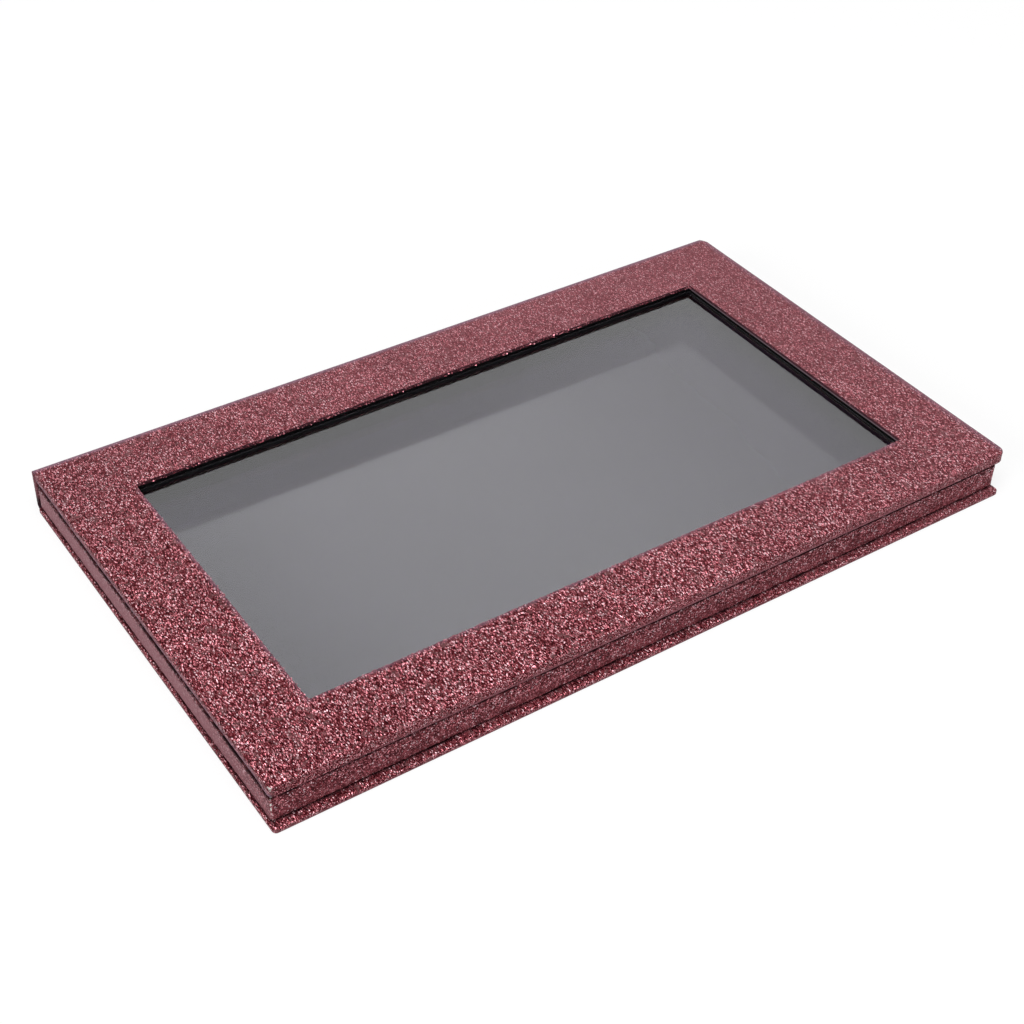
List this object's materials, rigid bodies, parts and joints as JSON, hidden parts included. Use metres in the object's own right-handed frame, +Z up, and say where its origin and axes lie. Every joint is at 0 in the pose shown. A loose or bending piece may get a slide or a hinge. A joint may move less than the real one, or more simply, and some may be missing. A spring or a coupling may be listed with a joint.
{
  "type": "magnetic makeup palette",
  "caption": "Flat book-style palette case of paper-wrapped board with a film window in its hinged lid, a walled tray and a magnetic floor for loose makeup pans.",
  "frame": {"origin": "middle of the closed case's footprint, on the table", "axes": "+X along the case's length, +Y from the front edge to the spine, +Z up out of the lid"},
  "size_m": [0.2022, 0.1204, 0.0113],
  "materials": {
    "glitter_paper": "glitter",
    "grey_board": "matte",
    "black_paper": "matte",
    "film": "clear gloss",
    "tape": "matte",
    "magnetic_sheet": "satin",
    "magnet": "polished nickel"
  },
  "bodies": {
    "base": {"base_board": "grey_board", "base_wrap": "glitter_paper", "base_crease": "glitter_paper", "sheet_adhesive": "tape", "magnetic_sheet": "magnetic_sheet", "tray_wall_front": "grey_board", "tray_wall_back": "grey_board", "tray_wall_left": "grey_board", "tray_wall_right": "grey_board", "tray_wrap": "glitter_paper", "tray_lining": "black_paper", "tray_magnet_left": "magnet", "tray_magnet_right": "magnet"},
    "spine": {"spine_board": "grey_board", "spine_wrap": "glitter_paper", "spine_liner": "black_paper", "lid_crease": "glitter_paper"},
    "lid": {"lid_board": "grey_board", "lid_wrap": "glitter_paper", "window_edge_strip": "black_paper", "window_film": "film", "film_tape": "tape", "lid_liner": "black_paper", "lid_magnet_left": "magnet", "lid_magnet_right": "magnet"}
  },
  "joints": [
    {"name": "spine_hinge", "type": "hinge", "parent": "base", "child": "spine", "pos_m": [0, 0.05915, 0.0011], "axis": [-1, 0, 0], "range_deg": [0, 90]},
    {"name": "lid_hinge", "type": "hinge", "parent": "spine", "child": "lid", "pos_m": [0, 0.05915, 0.0102], "axis": [-1, 0, 0], "range_deg": [0, 90]}
  ]
}
